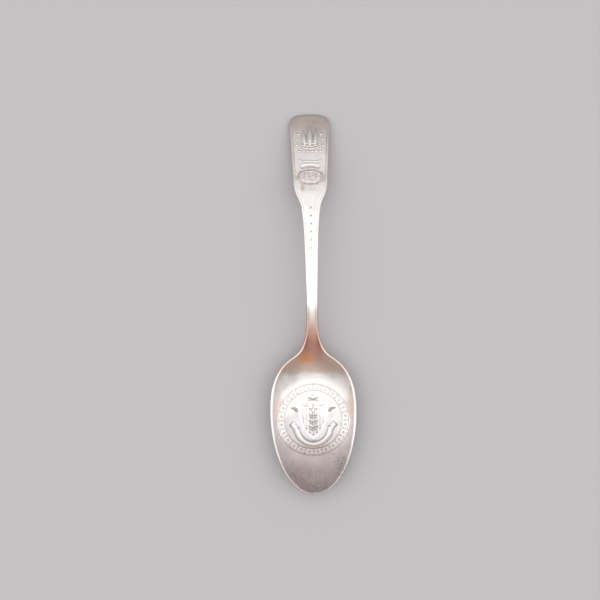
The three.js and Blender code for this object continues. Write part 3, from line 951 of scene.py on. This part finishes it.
def handle_material():
    graph = Graph("handle_silver")
    colour = worn_silver(graph, 0.35)
    colour = duller_towards_end(graph, colour, 0.9)
    groove = graph.maths("MULTIPLY", graph.near_edge(1.0, 1.5), graph.deeper(0.5, 0.9))
    groove_tint = graph.maths("ADD", graph.share(graph.ramp(graph.along, 126, 138), 0.25), 0.2)
    colour = graph.stained(colour, DULL_STRAW, groove, groove_tint)
    shoulder = graph.maths("MULTIPLY", graph.ramp(graph.along, 106, 111), graph.ramp(graph.along, 127, 122))
    elsewhere = graph.maths("SUBTRACT", 1.0, shoulder)
    dull_edge = graph.maths("MULTIPLY", graph.near_edge(0.2, 0.7), elsewhere)
    colour = graph.stained(colour, RIM_SILVER, dull_edge, 0.6)
    # Painted highlight along the edges of the handle's shoulders.
    painted_highlight_edge = graph.maths("MULTIPLY", graph.near_edge(0.8, 1.8), shoulder)
    colour = graph.stained(colour, PAINTED_HIGHLIGHT, painted_highlight_edge, 0.7)
    colour = copper_neck(graph, colour)
    inner = graph.patch(0, CARTOUCHE_AT, 4.2, 2.1, 0.25, 0.2)
    outer = graph.patch(0, CARTOUCHE_AT, 5.5, 3.3, 0.25, 0.25)
    colour = graph.stained(colour, BROWN, graph.maths("SUBTRACT", outer, inner, clamp=True), 0.75)
    colour = graph.stained(colour, BROWN, graph.patch(-3.1, CARTOUCHE_AT - 4.3, 0.9, 1.4, 0.5, 0.6), 0.5)
    colour = graph.stained(colour, BROWN, graph.crevices(0.7), 0.75)
    return graph.finish(colour, smudged(graph), struck_surface(graph))


def relief_material():
    graph = Graph("relief_silver_finish")
    colour = worn_silver(graph, 0.15)
    colour = duller_towards_tip(graph, colour)
    colour = duller_towards_end(graph, colour, 0.15)
    colour = graph.stained(colour, LILAC_GREY, graph.patch(0, MEDAL_AT - 2.9, 6.4, 6, 0.3, 0.15), 0.7)
    veins = graph.ramp(graph.noise(0.9, 3, shift=41), 0.45, 0.6)
    veins = graph.maths("MULTIPLY", veins, graph.patch(0, CARTOUCHE_AT, 4.6, 2.4))
    colour = graph.stained(colour, BROWN, veins, 0.45)
    colour = graph.stained(colour, BROWN, graph.crevices(0.6), 0.5)
    colour = shade_and_dirt_marks(graph, colour)
    heights = [(graph.noise(0.45, 3), 0.012), (graph.noise(2.2, 2, shift=5), 0.03)]
    return graph.finish(colour, smudged(graph, 0.26, 0.4), heights)


def floor_material():
    material = bpy.data.materials.new("pale_floor")
    material.use_nodes = True
    shader = material.node_tree.nodes["Principled BSDF"]
    shader.inputs["Base Color"].default_value = (0.50, 0.49, 0.50, 1)
    shader.inputs["Roughness"].default_value = 0.9
    return material


# --- The object ---


def add_piece(piece, node, material):
    """The piece stands for its CAD node, rides on the spoon and takes the material."""
    piece.data.materials.append(material)
    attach(piece, "root")
    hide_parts(node)


def build_spoon():
    """The bowl and handle, and one relief for every ornament of the CAD model."""
    add_piece(bowl_blank(), "bowl", bowl_material())
    add_piece(handle_blank(), "handle", handle_material())
    reliefs = {
        "medal_border": medal_border(),
        "medal_shield": medal_shield(),
        "medal_sprig": medal_sprig(),
        "medal_ribbon": medal_ribbon(),
        "medal_stroke_right": medal_stroke(1, "right"),
        "medal_stroke_left": medal_stroke(-1, "left"),
        "medal_crest": medal_crest(),
        "crest_palmette": crest_palmette(),
        "blank_banner": banner(),
        "oval_cartouche": cartouche(),
        "cartouche_bar": cartouche_bar(),
    }
    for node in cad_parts:
        if node.startswith("crest_stud"):
            reliefs[node] = stud(node)
        elif node.startswith("stem_lozenge"):
            reliefs[node] = lozenge(node)
    finish = relief_material()
    for node, relief in reliefs.items():
        add_piece(relief.piece(), node, finish)


# --- Stage, light and camera ---


def pale_floor():
    mesh = bpy.data.meshes.new("floor")
    half = 3  # metres
    corners = [(-half, -half, 0), (half, -half, 0), (half, half, 0), (-half, half, 0)]
    mesh.from_pydata(corners, [], [(0, 1, 2, 3)])
    mesh.materials.append(floor_material())
    floor = bpy.data.objects.new("floor", mesh)
    bpy.context.scene.collection.objects.link(floor)


def soft_box(name, place, size, watts):
    """A rectangular light facing straight down, its place and size in metres."""
    light = bpy.data.lights.new(name, "AREA")
    light.shape = "RECTANGLE"
    light.size, light.size_y = size
    light.energy = watts
    lamp = bpy.data.objects.new(name, light)
    lamp.location = place
    bpy.context.scene.collection.objects.link(lamp)


def soft_sky():
    """A grey room, lighter overhead."""
    world = bpy.data.worlds.new("room")
    bpy.context.scene.world = world
    world.use_nodes = True
    tree = world.node_tree
    where = tree.nodes.new("ShaderNodeTexCoord")
    apart = tree.nodes.new("ShaderNodeSeparateXYZ")
    tree.links.new(where.outputs["Generated"], apart.inputs[0])
    shade = tree.nodes.new("ShaderNodeValToRGB")
    shade.color_ramp.elements[0].position = 0.0
    shade.color_ramp.elements[0].color = (0.44, 0.42, 0.43, 1)
    shade.color_ramp.elements[1].position = 1.0
    shade.color_ramp.elements[1].color = (0.60, 0.58, 0.59, 1)
    tree.links.new(apart.outputs["Z"], shade.inputs[0])
    background = tree.nodes["Background"]
    tree.links.new(shade.outputs[0], background.inputs["Color"])
    background.inputs["Strength"].default_value = 1.0


VIEW_ELEVATION = 89  # degrees above the table, from the bowl's side
VIEW_ROLL = 0.73  # degrees that the spoon leans in the view
VIEW_DISTANCE = 0.3966  # metres
LENS = 60  # millimetres, like the sensor
SENSOR = 36
AIM = Vector((-0.00473, 0.001, 0.008))  # the point that the camera looks at, in metres


def camera():
    data = bpy.data.cameras.new("camera")
    data.lens = LENS
    data.sensor_width = SENSOR
    rise = math.radians(VIEW_ELEVATION)
    back = Vector((0, -math.cos(rise), math.sin(rise)))
    made = bpy.data.objects.new("camera", data)
    made.location = AIM + back * VIEW_DISTANCE
    turn = (-back).to_track_quat("-Z", "Y").to_matrix().to_4x4()
    roll = Matrix.Rotation(math.radians(-VIEW_ROLL), 4, "Z")
    made.matrix_world = Matrix.Translation(made.location) @ turn @ roll
    bpy.context.scene.collection.objects.link(made)
    bpy.context.scene.camera = made


build_spoon()
pale_floor()
soft_sky()
soft_box("overhead", (0, -0.205, 0.9), (6.0, 0.53), 13.6)
soft_box("beyond", (0, 0.39, 0.9), (4.6, 0.66), 7.2)
camera()
bpy.context.scene.view_settings.view_transform = "Standard"
